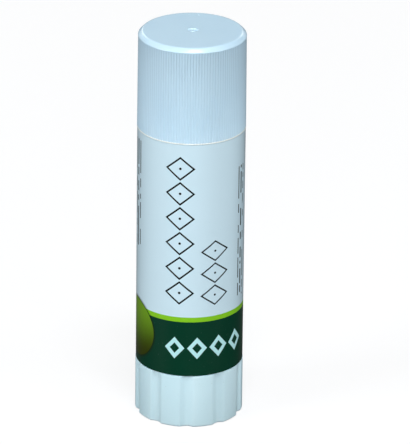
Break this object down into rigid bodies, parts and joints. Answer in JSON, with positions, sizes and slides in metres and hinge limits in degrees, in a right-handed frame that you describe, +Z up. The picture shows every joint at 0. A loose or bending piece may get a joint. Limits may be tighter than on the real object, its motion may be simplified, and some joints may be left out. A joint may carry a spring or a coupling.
{
  "type": "glue stick",
  "caption": "Upright twist-up glue stick: ribbed pull-off cap, printed label on a round barrel, and a fluted turning knob whose screw raises the glue.",
  "frame": {"origin": "centre of the turning knob's foot, where the stick stands", "axes": "+Z up the stick's axis towards the cap; the pictured side of the label faces -Y"},
  "size_m": [0.026, 0.026, 0.0975],
  "materials": {
    "barrel_plastic": "white moulded polypropylene",
    "label_print": "glossy printed film, white with a light-green line over a dark-green band",
    "knob_plastic": "satin white moulded polypropylene",
    "inner_plastic": "natural white moulded polypropylene",
    "glue": "smooth waxy off-white solid adhesive",
    "cap_plastic": "satin translucent white moulded polypropylene with fine upright ribs"
  },
  "bodies": {
    "barrel": {"barrel": "barrel_plastic", "label": "label_print"},
    "knob": {"knob": "knob_plastic", "spindle": "inner_plastic"},
    "carrier": {"carrier": "inner_plastic", "glue": "glue"},
    "cap": {"cap": "cap_plastic"}
  },
  "joints": [
    {"name": "knob_turn", "type": "hinge", "parent": "barrel", "child": "knob", "pos_m": [0, 0, 0], "axis": [0, 0, 1], "range_deg": [0, 2160]},
    {"name": "glue_rise", "type": "slide", "parent": "barrel", "child": "carrier", "axis": [0, 0, 1], "range_m": [0, 0.06]},
    {"name": "cap_lift", "type": "slide", "parent": "carrier", "child": "cap", "axis": [0, 0, 1], "range_m": [0, 0.04]}
  ],
  "couplings": [
    {"joint": "knob_turn", "follows": "glue_rise", "rad_per_m": 628.32}
  ]
}
